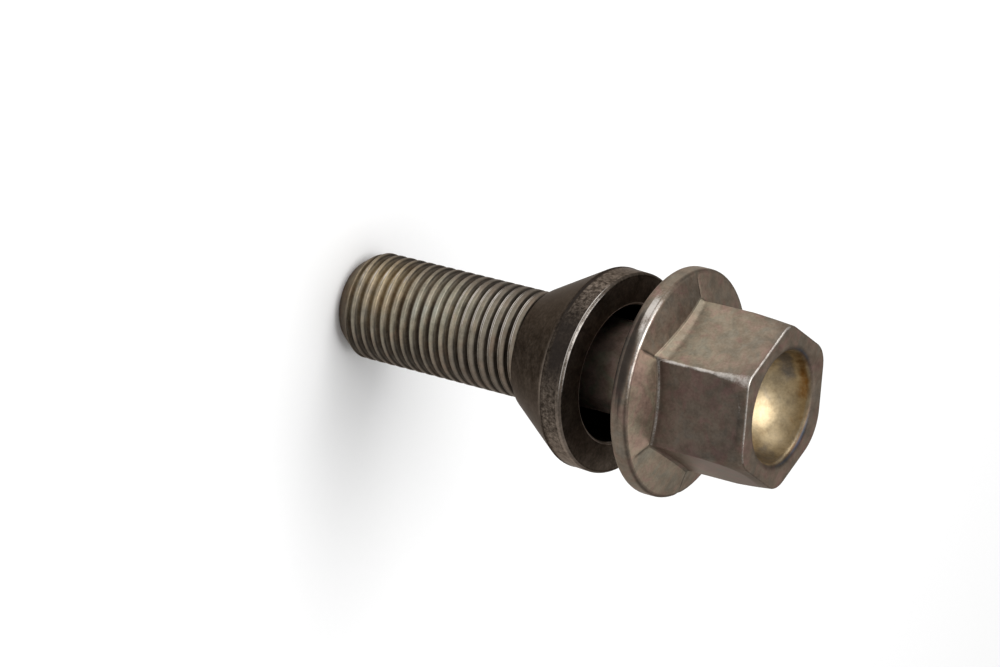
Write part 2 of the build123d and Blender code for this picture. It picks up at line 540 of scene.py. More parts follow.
# Painted light and shade on the flats and on the flange's panels, as film thickness, at 0, 60, 120, 180, 240
# and 300 degrees
FILM_ON_FLATS = (0.56, 0.5, 0.38, 0.45, 0.28, 0.66)
FILM_ON_PANELS = (0.34, 0.4, 0.42, 0.42, 0.56, 0.22)
# Cast of the film in the same order, below 0 towards teal and above it towards rose
HUE_OF_FLATS = (0.05, 0.0, 0.0, 0.0, -0.01, 0.04)
HUE_OF_PANELS = (-0.03, 0.0, 0.0, 0.0, -0.02, 0.11)
# Painted shade: how much darker a flat grows towards the end, and the share of its height that keeps the
# flat's own tone
FILM_CLIMB = 0.17
CLIMB_START = 0.35
FILM_ON_SHANK, HUE_OF_SHANK = 0.16, 0.15
FILM_UNDER_FLANGE = 0.55
FILM_ON_RIM, HUE_OF_RIM = 0.5, -0.06
# Painted dark reflection on the rim, as thicker film
FILM_OF_STAIN = 0.28
FILM_ON_END = 0.56
# Wear of the upright edges, with a painted highlight on the brightest, and rounds at the end in mm, at 30,
# 90, 150, 210, 270 and 330 degrees
CORNER_WEAR = (0.25, 0.3, 0.3, 0.15, 1.0, 0.2)
END_CORNERS = (3.4, 5.6, 3.6, 3.0, 1.6, 3.4)
# Wear of the edges round the end and at the foot of the flats, at 0, 60, 120, 180, 240 and 300 degrees
END_WEAR = (0.25, 0.3, 0.3, 0.35, 0.8, 0.65)
FOOT_WEAR = (0.1, 0.1, 0.1, 0.1, 0.1, 0.5)
END_WEAR_REACH = 1.5 * MM
# Spreads of the rim's worn edge with its painted highlight, and of the painted highlight on the rim
RIM_WEAR_SPREAD = math.radians(45)
RIM_SHINE_SPREAD = math.radians(26)
# How far in from the rim the creases and the swells set in
PANEL_START = (0.2 * MM, 1.6 * MM)
# How sharply the tall strip ends at its flat's corners, and the cone left outside the strip
STRIP_FADE = 0.02
STRIP_MARGIN = 0.2 * MM
# Depths in the cup over which its painted amber interreflection ends, its upper painted dark reflection
# starts and both painted dark reflections end
AMBER_END = (1.2 * MM, 2.6 * MM)
DULL_START = (1.2 * MM, 2.4 * MM)
DULL_END = (2.6 * MM, 4.4 * MM)
# Patches on the head, each a direction and a spread in degrees
# Painted light on the rim's lit side
PALE_RIM = (224, 36)
# Painted dark reflection along the rim's lower edge, and the side where it creeps up the rim
STAINED_RIM = (275, 36)
CREEP_SIDE = 281
WORN_CROWN = (287, 30)
# Painted reflections in the cup: a warm interreflection on one wall, dark reflections high and low
AMBER_WALL = (137, 42)
DULL_UPPER_WALL = (166, 50)
DULL_LOWER_WALL = (25, 60)
# Painted highlight, painted dark reflection and painted shade on the cup's lip
LIP_SHEEN = (78, 44)
LIP_TARNISH = (72, 62)
LIP_SHADES = ((45, 60), (180, 50))
LIP_STATIONS = 10
BOWL_STATIONS = 25
# Handling marks: how far each reaches, how much the nick cuts down, and how deep in the cup the burr sits
NICK_REACH = 0.5 * MM
NICK_DROP = 0.7
BURR_REACH = 0.34 * MM
BURR_DEPTH = 0.45 * MM
UP = np.array([0.0, 0.0, 1.0])


def head_angles(head):
    """Directions of the columns round the head, closest at the hex corners, from the first past +X."""
    tangent = math.atan2((head.apothem - head.corner_round) * math.tan(SIXTH / 2), head.apothem)
    half = np.append(np.radians(HALF_FLAT), np.linspace(tangent, SIXTH / 2, CORNER_COLUMNS))
    sector = np.append(-half[:0:-1], half[:-1])
    every = (sector[None, :] + SIXTH * np.arange(6)[:, None]).reshape(-1)
    return np.sort(np.mod(every, FULL_TURN))


def from_flat(angles):
    """Angle from the middle of the nearest flat."""
    return np.mod(angles + SIXTH / 2, SIXTH) - SIXTH / 2


def by_flat(values, angles):
    """For each column, the value of its flat or panel."""
    return np.array(values)[np.mod(np.round(angles / SIXTH).astype(int), 6)]


def by_corner(values, angles):
    """For each column, the value of the corner in its sixth of the turn."""
    return np.array(values)[np.mod(np.floor(angles / SIXTH).astype(int), 6)]


def hex_radius(apothem, corner_round, off):
    """Distance from the axis to a hexagon's side with rounded corners, at an angle off a flat's middle."""
    turn = SIXTH / 2 - np.abs(off)
    hub = (apothem - corner_round) / math.cos(SIXTH / 2)
    across = hub * np.sin(turn)
    corner = hub * np.cos(turn) + np.sqrt(np.maximum(corner_round ** 2 - across ** 2, 0.0))
    tangent = np.arctan2((apothem - corner_round) * math.tan(SIXTH / 2), apothem)
    return np.where(np.abs(off) > tangent, corner, apothem / np.cos(off))


def flange_height(head, radius, off):
    """Height of the coned top of the flange, with its six creases and the swell between them."""
    inset = head.flange_radius - radius
    cone = head.flange_seat + head.rim_height + inset * math.tan(head.flange_slope)
    crease = head.crease_depth * band((SIXTH / 2 - np.abs(off)) * radius, 0.0, head.crease_width)
    swell = head.panel_swell * (1 - (np.abs(off) / (SIXTH / 2)) ** 3)
    return cone + smooth_step(*PANEL_START, inset) * (swell - crease)


def draw_flange(outline, head, angles, off, foot_radius):
    """Shank, neck, underside, rim and coned top, up to the foot of the hex."""
    seat, reach, shank = head.flange_seat, head.flange_radius, head.shank_radius
    under, upper = head.rim_round_under, head.rim_round_top
    plain_shank = {"film": FILM_ON_SHANK, "hue": HUE_OF_SHANK}
    outline.station(shank, head.shank_foot, **plain_shank)
    outline.line(shank, seat - head.neck_round, (0.4, 0.8, 0.97, 1), **plain_shank)
    # Painted shade in the corner under the flange
    outline.bend((shank, seat), (shank + head.neck_round, seat), 6, recess=0.6, film=FILM_ON_SHANK)
    outline.line(reach - under, seat, (0.03, 0.3, 0.6, 0.9, 0.98, 1), film=FILM_UNDER_FLANGE)
    # Painted dark reflection along the rim's lower edge on one side, as painted shade and thicker film
    stain = np.minimum(1.0, 1.8 * patch(angles, STAINED_RIM))
    low_edge = {"wear": 0.12 * (1 - stain), "recess": stain, "film": FILM_ON_RIM + FILM_OF_STAIN * stain}
    outline.bend((reach, seat), (reach, seat + under), 8, **low_edge)
    rim_top = seat + head.rim_height
    rim_middle = rim_top - 3 * upper
    # Rim tone, lighter on one side as painted light
    rim_film = FILM_ON_RIM - 0.12 * patch(angles, PALE_RIM)
    low_rim = {"recess": stain, "film": rim_film + FILM_OF_STAIN * stain, "hue": HUE_OF_RIM}
    outline.line(reach, rim_middle, (0.2, 0.9, 1), **low_rim)
    # Painted highlight on the rim, as bare steel
    shine = facing(angles, head.rim_shine_side, RIM_SHINE_SPREAD)
    for way in (0.15, 0.35, 0.55, 0.75, 0.9, 1):
        # Painted dark reflection creeping up the rim
        creep = np.minimum(1.0, 1.9 * patch(angles, (CREEP_SIDE, 38 - 20 * way))) * (1 - 0.6 * way * way)
        high_rim = {"wear": shine * (1 - creep), "recess": creep, "film": rim_film + FILM_OF_STAIN * creep}
        outline.station(reach, rim_middle + 2 * upper * way, hue=HUE_OF_RIM, **high_rim)
    inner = reach - upper * math.cos(head.flange_slope)
    rim_end = (inner, flange_height(head, inner, off))
    # Wear and a painted highlight on the upper edge, with painted shade where it is not lit
    rubbed = 0.12 + 0.88 * facing(angles, head.rim_wear_side, RIM_WEAR_SPREAD)
    outline.bend((reach, rim_top), rim_end, 7, wear=rubbed, recess=0.6 * (1 - rubbed), film=FILM_ON_RIM)
    # Painted light and shade by panel
    panel = {"film": by_flat(FILM_ON_PANELS, angles), "hue": by_flat(HUE_OF_PANELS, angles)}
    # Painted shade along the creases
    crease = 0.75 * band((SIXTH / 2 - np.abs(off)) * reach, 0.0, 2 * head.crease_width)
    for way in (0.03, 0.08, 0.16, 0.26, 0.38, 0.5, 0.62, 0.74, 0.85, 0.94, 0.98, 1):
        radius = inner + (foot_radius - inner) * way
        height = flange_height(head, radius, off)
        outline.station(radius, height, recess=crease * smooth_step(0, 0.3, way), **panel)


def strip_height(head, angles):
    """Height of the flared strip at the foot of the flats, tallest at one corner of one flat."""
    turned = turn_from(angles, head.strip_side)
    on_flat = 1.0 - smooth_step(SIXTH / 2 - STRIP_FADE, SIXTH / 2 + STRIP_FADE, np.abs(turned))
    along = np.clip(turned / SIXTH + 0.5, 0.0, 1.0)
    return head.foot_height + head.foot_rise * on_flat * (0.3 + 0.7 * along)


def draw_hex(outline, head, angles, off, side):
    """Flared foot, flats and shallow crown, up to the end face."""
    # Painted light and shade by flat
    film, hue = by_flat(FILM_ON_FLATS, angles), by_flat(HUE_OF_FLATS, angles)
    rise = strip_height(head, angles)
    flare = rise * math.tan(head.foot_slope)
    foot = flange_height(head, side + flare, off)
    aside = (SIXTH / 2 - np.abs(off)) * head.apothem
    # Wear and painted highlights along the upright edges
    rubbed = by_corner(CORNER_WEAR, angles)
    edge = rubbed * band(aside, 0.0, head.edge_wear_width)
    strip_start = (side + 0.85 * flare, foot + 0.15 * rise)
    # Painted shade in the crease at the foot of the flats
    outline.bend((side + flare, foot), strip_start, 4, recess=0.7, film=0.7 * film)
    foot_wear = np.maximum(0.6 * edge, by_flat(FOOT_WEAR, angles))
    for way in (0.2, 0.4, 0.6, 0.8):
        outline.station(side + flare * (1 - way), foot + rise * way, wear=foot_wear, film=film, hue=hue)
    outline.bend((side, foot + rise), (side, foot + 1.3 * rise), 6, wear=edge, film=film, hue=hue)
    reach = np.clip((side - head.apothem) / (side.max() - head.apothem), 0.0, 1.0)
    fall = head.end_bevel + head.crown_height * reach ** 2.2
    crown_end = head.top - head.end_round
    foot_end, crown_start = outline.height[-1], crown_end - fall
    for way in (0.03, 0.12, 0.3, 0.5, 0.7, 0.88, 0.97, 1):
        # Painted shade, darker towards the end
        tone = film + FILM_CLIMB * (way - CLIMB_START)
        outline.station(side, foot_end + (crown_start - foot_end) * way, wear=edge, film=tone, hue=hue)
    film = film + (1 - CLIMB_START) * FILM_CLIMB
    crown_wear = 0.06 + 0.26 * patch(angles, WORN_CROWN)
    end_apothem = head.end_apothem + head.end_shift * np.cos(angles - head.end_shift_side)
    end_side = hex_radius(end_apothem, by_corner(END_CORNERS, angles) * MM, off)
    for way in (0.04, 0.1, 0.2, 0.32, 0.45, 0.58, 0.7, 0.82, 0.92, 1.0):
        inset = (side - end_side) * (0.7 * way + 0.3 * way ** 2)
        spread = band(aside, 0.0, head.edge_wear_width * (1 + 4 * way))
        flared = np.maximum(rubbed * spread * (1 - 0.4 * way), crown_wear * (1 - way * way))
        tone = film + (FILM_ON_END - film) * way
        outline.station(side - inset, crown_end - fall * (1 - way), wear=flared, film=tone)
    end_wear = np.maximum(by_flat(END_WEAR, angles), rubbed * band(aside, 0.0, END_WEAR_REACH))
    face_edge = (end_side - head.end_round, head.top)
    outline.bend((end_side, head.top), face_edge, 5, wear=end_wear, film=FILM_ON_END)


def cup_tone(angles, depth):
    """How far the cup's colour leans from a painted dark reflection, 0, over gold, 0.5, to a painted amber
    interreflection, 1.
    """
    wall = patch(angles, AMBER_WALL) * (1 - smooth_step(*AMBER_END, depth))
    upper = patch(angles, DULL_UPPER_WALL) * smooth_step(*DULL_START, depth)
    lower = patch(angles, DULL_LOWER_WALL)
    shallow = 1 - smooth_step(*DULL_END, depth)
    return np.clip(0.5 + 0.45 * wall - (0.5 * upper + 0.3 * lower) * shallow, 0.0, 1.0)


def draw_cup(outline, head, angles):
    """End face, lip and bowl, down to the middle of the cup."""
    ball = (head.cup_radius ** 2 + head.cup_depth ** 2) / (2 * head.cup_depth)
    middle = head.top - head.cup_depth + ball
    lip_start, lip_foot = head.cup_radius + head.lip_round, head.top - head.lip_round
    lip_foot_radius = math.sqrt(ball ** 2 - (middle - lip_foot) ** 2)
    outline.line(lip_start, head.top, (0.05, 0.2, 0.5, 0.8, 0.95, 1), film=FILM_ON_END)
    start = outline.radius[-1]
    # Painted highlight, and painted shade and dark reflection, on the lip
    sheen = 0.48 * patch(angles, LIP_SHEEN)
    shade = np.maximum(sum(patch(angles, place) for place in LIP_SHADES), 1.2 * patch(angles, LIP_TARNISH))
    for step in range(1, LIP_STATIONS + 1):
        way = step / LIP_STATIONS
        near, corner, far = bend_shares(way)
        radius = near * start + corner * head.cup_radius + far * lip_foot_radius
        height = (near + corner) * head.top + far * lip_foot
        gilt = smooth_step(0.35, 1.0, way)
        ring = FILM_ON_END + 0.4 * shade * math.sin(math.pi * way)
        tone = ring + (cup_tone(angles, head.top - height) - ring) * gilt
        gleam = sheen * smooth_step(0.5, 0.75, way) * (1 - smooth_step(0.85, 1.0, way))
        outline.station(radius, height, film=tone, gilt=gilt, wear=gleam)
    first = math.asin((middle - lip_foot) / ball)
    for turn in np.linspace(first, math.radians(90), BOWL_STATIONS + 2)[1:-1]:
        depth = head.top - middle + ball * math.sin(turn)
        outline.station(ball * math.cos(turn), head.top - depth, gilt=1.0, film=cup_tone(angles, depth))


def outwards(side):
    """Level direction away from the axis."""
    return np.array([math.cos(side), math.sin(side), 0.0])


def knocked(points, centre, reach, move):
    """Points moved most at a centre and less with distance from it."""
    near = band(np.linalg.norm(points - centre, axis=2), 0.0, reach)
    return points + near[:, :, None] * move


def scar(head, points):
    """Nicks the flange's rim and raises a burr on the cup's lip, as handling left them."""
    rim, lip = outwards(head.nick_side), outwards(head.burr_side)
    rim_edge = rim * head.flange_radius + UP * (head.flange_seat + head.rim_height)
    lip_edge = lip * head.cup_radius + UP * (head.top - BURR_DEPTH)
    points = knocked(points, rim_edge, NICK_REACH, -head.nick_depth * (rim + NICK_DROP * UP))
    return knocked(points, lip_edge, BURR_REACH, -head.burr_height * lip)


def lay_head(skin, head, ring, ring_angles):
    """Lays shank, flange, hex and cup above the ring that ends the thread."""
    angles = head_angles(head)
    off = from_flat(angles)
    side = hex_radius(head.apothem, head.corner_round, off)
    outline = Outline(len(angles))
    foot_radius = side + strip_height(head, angles) * math.tan(head.foot_slope) + STRIP_MARGIN
    draw_flange(outline, head, angles, off, foot_radius)
    draw_hex(outline, head, angles, off, side)
    draw_cup(outline, head, angles)
    numbers = skin.add(scar(head, outline.points(angles)), outline.marked())
    skin.stitch(ring, ring_angles, numbers[0].tolist(), angles)
    skin.wrap_all(numbers)
    tip = skin.add(np.array([[[0.0, 0.0, head.top - head.cup_depth]]]), {"gilt": 1.0, "film": 0.5})
    skin.close(int(tip[0, 0]), numbers[-1].tolist(), at_foot=False)


# The collar
COLLAR_COLUMNS = 168
# Stations along a long face, held close to both of its ends
HOLDING = (0.02, 0.1, 0.3, 0.5, 0.7, 0.9, 0.98, 1)
# Spread of the back edge's wear and painted highlight
BACK_WEAR_SPREAD = math.radians(50)
# Patches of painted light, painted shade and painted highlight on the collar, each a direction and a spread
# in degrees
RUBBED_CONE_EDGE = (-62, 40)
SHADED_STEP = (225, 80)
DARK_RIM = (-85, 44)
PLAIN_RIM = (-85, 50)
SCALED_RIM = (0, 60)
LEFT_SCALE = (232, 40)
DUSTY_CONE = (-22, 64)
DUSTY_RIM = (4, 52)
PALE_BACK_EDGE = (-28, 62)


def lay_collar(skin, ring):
    """Lays the conical ring on its own axis, once round its closed section."""
    outline = Outline(COLLAR_COLUMNS)
    angles = np.arange(COLLAR_COLUMNS) * FULL_TURN / COLLAR_COLUMNS
    flare = math.tan(ring.cone_half_angle)
    soft, chamfer, nose = ring.edge_round, ring.back_chamfer, ring.nose_cut
    slant = soft * math.sqrt(0.5)
    run, lift = soft * math.sin(ring.cone_half_angle), soft * math.cos(ring.cone_half_angle)
    bore, rim, mouth = ring.bore_radius, ring.rim_radius, ring.mouth_radius
    narrow = bore + ring.narrow_wall
    blunt = narrow + nose * flare
    cone_top = (rim - narrow) / flare
    back = cone_top + ring.rim_height
    rim_face = rim - ring.rim_step
    rim_end = back - chamfer
    mouth_edge, mouth_foot = mouth + ring.mouth_chamfer, back - ring.mouth_chamfer
    lip = ring.lip_height
    inner_top = lip + (mouth - bore) / flare

    # The blunt nose and the cone, with a painted highlight at the cone's end and painted light low on it
    edged = patch(angles, RUBBED_CONE_EDGE)
    outline.station(bore + soft, nose)
    outline.line(blunt - soft, nose, (0.1, 0.5, 0.9, 1))
    outline.bend((blunt, nose), (blunt + run, nose + lift), 5, wear=0.15)
    outline.line(rim - 4 * run, cone_top - 4 * lift, HOLDING, gilt=0.13 * patch(angles, DUSTY_CONE))
    outline.line(rim - run, cone_top - lift, (0.2, 0.8, 1), gilt=0.35 * edged)
    outline.bend((rim, cone_top), (rim, cone_top + soft), 5, wear=0.1 * edged, gilt=0.55 * edged)

    # The mottled rim, with painted light and shade by direction and painted shade at the step
    shaded = patch(angles, SHADED_STEP)
    # Painted light and shade on the rim, as paler mottling by direction
    scale = 0.75 - 0.75 * patch(angles, PLAIN_RIM) + 0.25 * patch(angles, SCALED_RIM)
    scale = scale + 0.3 * patch(angles, LEFT_SCALE)
    mottled = {"recess": 0.8 * patch(angles, DARK_RIM), "film": scale}
    paled = patch(angles, PALE_BACK_EDGE)
    outline.line(rim_face, cone_top + 2.2 * soft, (0.5, 1), recess=shaded)
    outline.line(rim_face, cone_top + 6 * soft, (0.3, 0.8), recess=shaded, film=0.5 * scale)
    rim_dust = 0.4 * patch(angles, DUSTY_RIM)
    outline.line(rim_face, rim_end - slant - 4 * soft, HOLDING, gilt=rim_dust, **mottled)
    outline.line(rim_face, rim_end - slant, (0.2, 0.8, 1), gilt=0.7 * paled, **mottled)

    # The rubbed back edge with its painted highlight, and the back
    lit = facing(angles, ring.wear_side, BACK_WEAR_SPREAD)
    dusty = 0.2 + 0.7 * paled
    chamfer_end = rim_face - chamfer
    edge_end = (rim_face - slant, rim_end + slant)
    outline.bend((rim_face, rim_end), edge_end, 4, wear=0.2 + 1.4 * lit, gilt=dusty)
    outline.line(chamfer_end + slant, back - slant, (0.2, 0.8, 1), wear=0.7 * lit, gilt=dusty)
    outline.bend((chamfer_end, back), (chamfer_end - soft, back), 4, wear=0.15 + 1.2 * lit)
    outline.line(mouth_edge + soft, back, HOLDING, gilt=0.18)

    # The mouth, and the inner cone and the bore in painted shade
    outline.bend((mouth_edge, back), (mouth_edge - slant, back - slant), 4, wear=0.9, gilt=0.9)
    outline.line(mouth, mouth_foot, (0.5, 1), wear=0.6, gilt=0.9)
    outline.line(mouth, inner_top + soft, (0.05, 0.5, 0.95, 1), recess=0.5)
    outline.bend((mouth, inner_top), (mouth - run, inner_top - lift), 3, recess=0.8)
    outline.line(bore + run, lip + lift, HOLDING, recess=0.8)
    outline.bend((bore, lip), (bore, lip - soft), 4, recess=0.6)
    outline.line(bore, nose + soft, (0.05, 0.5, 0.95, 1), recess=0.5)
    outline.bend((bore, nose), (bore + soft, nose), 4)
    marks = {name: rows[:-1] for name, rows in outline.marked().items()}
    numbers = skin.add(outline.points(angles)[:-1], marks)
    skin.wrap_all(np.concatenate([numbers, numbers[:1]]))
    return cone_top / 2


def collar_place(half_cone):
    """Where the collar hangs: its axis and the middle of its cone are the frame's cone seat."""
    seat = mounts["cone_seat"]
    axis = -Vector(seat["axis"]).normalized()
    turn = Vector((0.0, 0.0, 1.0)).rotation_difference(axis)
    foot = Vector(seat["pos_m"]) - half_cone * axis
    return Matrix.Translation(foot) @ turn.to_matrix().to_4x4()


# Shader nodes
FLOAT, VECTOR, COLOUR = "NodeSocketFloat", "NodeSocketVector", "NodeSocketColor"
MIX_FACTOR, MIX_FIRST, MIX_SECOND, MIX_RESULT = 0, 6, 7, 2


def group(name, inputs, outputs):
    """An empty shader group with named sockets, and its inner ends."""
    tree = bpy.data.node_groups.new(name, "ShaderNodeTree")
    for socket, kind, default in inputs:
        made = tree.interface.new_socket(name=socket, in_out="INPUT", socket_type=kind)
        if default is not None:
            made.default_value = default
    for socket, kind in outputs:
        tree.interface.new_socket(name=socket, in_out="OUTPUT", socket_type=kind)
    return tree, tree.nodes.new("NodeGroupInput").outputs, tree.nodes.new("NodeGroupOutput").inputs


def put(tree, kind, values=None, **settings):
    """A node with its settings, and its inputs given as values or as sockets to link."""
    made = tree.nodes.new(kind)
    for name, value in settings.items():
        setattr(made, name, value)
    for name, value in (values or {}).items():
        if isinstance(value, bpy.types.NodeSocket):
            tree.links.new(value, made.inputs[name])
        else:
            made.inputs[name].default_value = value
    return made


def worked(tree, operation, first, second):
    """One Math node's result."""
    return put(tree, "ShaderNodeMath", {0: first, 1: second}, operation=operation).outputs["Value"]


def plus(tree, first, second):
    """Two values added up."""
    return worked(tree, "ADD", first, second)


def less(tree, first, second):
    """The first value without the second."""
    return worked(tree, "SUBTRACT", first, second)


def times(tree, first, second):
    """Two values multiplied."""
    return worked(tree, "MULTIPLY", first, second)


def mixed(tree, factor, first, second, blend="MIX"):
    """One colour Mix node's result. Colours are sockets or linear triples."""
    values = {MIX_FACTOR: factor}
    for place, value in ((MIX_FIRST, first), (MIX_SECOND, second)):
        values[place] = value if isinstance(value, bpy.types.NodeSocket) else (*value, 1.0)
    return put(tree, "ShaderNodeMix", values, data_type="RGBA", blend_type=blend).outputs[MIX_RESULT]


def eased(tree, value, low, high):
    """A value turned into a smooth mask between two levels."""
    levels = {"Value": value, "From Min": low, "From Max": high}
    return put(tree, "ShaderNodeMapRange", levels, interpolation_type="SMOOTHSTEP").outputs["Result"]


def noise(tree, vector, scale, detail, roughness=0.55, distortion=0.0):
    """One noise texture's value."""
    values = {"Vector": vector, "Scale": scale, "Detail": detail}
    values.update({"Roughness": roughness, "Distortion": distortion})
    return put(tree, "ShaderNodeTexNoise", values).outputs["Fac"]


# Shader groups
FILM_CASTS = ((0.3, (0.92, 1.0, 1.01)), (0.7, (1.13, 0.94, 0.98)), (0.5, (1.02, 1.01, 0.97)))


def film_group(finish):
    """Colours of the plating's film by its thickness, which wanders, with a warmer and a cooler cast."""
    inputs = (
        ("Vector", VECTOR, None),
        ("Thickness", FLOAT, 0.5),
        ("Hue", FLOAT, 0.0),
        ("Scale", FLOAT, 100.0),
        ("Swing", FLOAT, 0.5),
    )
    tree, given, result = group("Film colours", inputs, (("Color", COLOUR),))
    wander = noise(tree, given["Vector"], given["Scale"], detail=4.0, roughness=0.6, distortion=0.6)
    swing = times(tree, less(tree, wander, 0.5), given["Swing"])
    ramp = put(tree, "ShaderNodeValToRGB", {"Fac": plus(tree, swing, given["Thickness"])})
    stops = (finish.pale, finish.straw, finish.bronze, finish.brown, finish.plum, finish.slate)
    steps = ramp.color_ramp.elements
    steps[0].color = (*stops[0], 1.0)
    steps[1].color = (*stops[-1], 1.0)
    for place, stop in enumerate(stops[1:-1], start=1):
        steps.new(place / (len(stops) - 1)).color = (*stop, 1.0)
    cast_scale = times(tree, given["Scale"], 2.6)
    patches = noise(tree, given["Vector"], cast_scale, detail=3.0, roughness=0.5, distortion=0.9)
    lean = plus(tree, patches, given["Hue"])
    cast = put(tree, "ShaderNodeValToRGB", {"Fac": lean})
    (cool_place, cool), (warm_place, warm), (middle_place, middle) = FILM_CASTS
    hues = cast.color_ramp.elements
    hues[0].position, hues[0].color = cool_place, (*cool, 1.0)
    hues[1].position, hues[1].color = warm_place, (*warm, 1.0)
    hues.new(middle_place).color = (*middle, 1.0)
    coloured = mixed(tree, 1.0, ramp.outputs["Color"], cast.outputs["Color"], "MULTIPLY")
    tree.links.new(coloured, result["Color"])
    return tree


def wear_group():
    """Mask of the places where edges are rubbed to bare steel and of painted highlights, in broken
    stretches.
    """
    inputs = (("Vector", VECTOR, None), ("Edge", FLOAT, 0.0), ("Scale", FLOAT, 900.0))
    tree, given, result = group("Edge wear", inputs, (("Mask", FLOAT),))
    fine = noise(tree, given["Vector"], given["Scale"], detail=5.0, roughness=0.65)
    stretch_scale = times(tree, given["Scale"], 0.09)
    stretch = eased(tree, noise(tree, given["Vector"], stretch_scale, detail=2.0), 0.3, 0.62)
    held = times(tree, given["Edge"], plus(tree, times(tree, stretch, 0.55), 0.55))
    flecks = times(tree, less(tree, fine, 0.5), 0.9)
    level = eased(tree, plus(tree, held, flecks), 0.22, 1.0)
    tree.links.new(times(tree, level, eased(tree, given["Edge"], 0.02, 0.2)), result["Mask"])
    return tree


def grain_group():
    """Fine grain of forged and plated steel: a height, and blotches for tone and gloss."""
    inputs = (("Vector", VECTOR, None), ("Scale", FLOAT, 1500.0))
    tree, given, result = group("Forged grain", inputs, (("Height", FLOAT), ("Blotch", FLOAT)))
    fine = noise(tree, given["Vector"], given["Scale"], detail=4.0, roughness=0.6)
    coarse_scale = times(tree, given["Scale"], 0.22)
    coarse = noise(tree, given["Vector"], coarse_scale, detail=3.0, roughness=0.6)
    tree.links.new(plus(tree, times(tree, fine, 0.6), coarse), result["Height"])
    tree.links.new(plus(tree, times(tree, fine, 0.4), times(tree, coarse, 0.6)), result["Blotch"])
    return tree


def grime_group():
    """Mask of painted shade and painted dark reflections, in patches, where the marks ask for it."""
    inputs = (("Vector", VECTOR, None), ("Recess", FLOAT, 0.0), ("Scale", FLOAT, 500.0))
    tree, given, result = group("Grime", inputs, (("Mask", FLOAT),))
    patchy = noise(tree, given["Vector"], given["Scale"], detail=3.0)
    level = times(tree, given["Recess"], plus(tree, patchy, 0.4))
    tree.links.new(eased(tree, level, 0.15, 0.95), result["Mask"])
    return tree


def shared_groups(finish):
    """The shader groups, made once."""
    made = {tree.name: tree for tree in bpy.data.node_groups}
    if "Film colours" not in made:
        for tree in (film_group(finish), wear_group(), grain_group(), grime_group()):
            made[tree.name] = tree
    return made


# Materials
FIBRE_SHADE = 0.985
GRIME_SCALE = 420.0
BARE_SHARE = 0.85
GRAIN_RELIEF, GRAIN_DEPTH = 0.4, 0.02 * MM


def mark(tree, name):
    """The value of one of the mesh's marks."""
    return put(tree, "ShaderNodeAttribute", attribute_name=name).outputs["Fac"]


def use(tree, shared, name, **values):
    """One of the shared groups placed in a material, with its own values."""
    return put(tree, "ShaderNodeGroup", values, node_tree=shared[name]).outputs


def blank_material(name):
    """A material with only its shader, and the place of each point on the part."""
    made = bpy.data.materials.new(name)
    made.use_nodes = True
    tree = made.node_tree
    shader = tree.nodes["Principled BSDF"]
    place = put(tree, "ShaderNodeTexCoord").outputs["Object"]
    return made, tree, shader, place


def weathered(tree, shared, place, finish, clean, blotch, dark_blotch, grime_share, wear_scale):
    """A clean film with blotches, painted shade, worn edges and painted highlights on it, and the mask of
    the worn edges and highlights.
    """
    pale_blotch = [2 - level for level in dark_blotch]
    mottle = mixed(tree, eased(tree, blotch, 0.3, 0.7), dark_blotch, pale_blotch)
    mottled = mixed(tree, 1.0, clean, mottle, "MULTIPLY")
    grime = use(tree, shared, "Grime", Vector=place, Recess=mark(tree, "recess"), Scale=GRIME_SCALE)["Mask"]
    dirty = mixed(tree, times(tree, grime, grime_share), mottled, finish.grime)
    wear = use(tree, shared, "Edge wear", Vector=place, Edge=mark(tree, "wear"), Scale=wear_scale)["Mask"]
    return mixed(tree, times(tree, wear, BARE_SHARE), dirty, finish.bare), wear


def ranged(tree, value, low, high):
    """A value from 0 to 1 brought between two levels."""
    return put(tree, "ShaderNodeMapRange", {"Value": value, "To Min": low, "To Max": high}).outputs["Result"]


def plate(tree, shader, tone, roughness, tint, height):
    """Links a film to the shader as metal, with its grain as relief."""
    tree.links.new(tone, shader.inputs["Base Color"])
    tree.links.new(roughness, shader.inputs["Roughness"])
    shader.inputs["Metallic"].default_value = 1.0
    shader.inputs["Specular Tint"].default_value = (*tint, 1.0)
    relief = {"Height": height, "Strength": GRAIN_RELIEF, "Distance": GRAIN_DEPTH}
    tree.links.new(put(tree, "ShaderNodeBump", relief).outputs["Normal"], shader.inputs["Normal"])


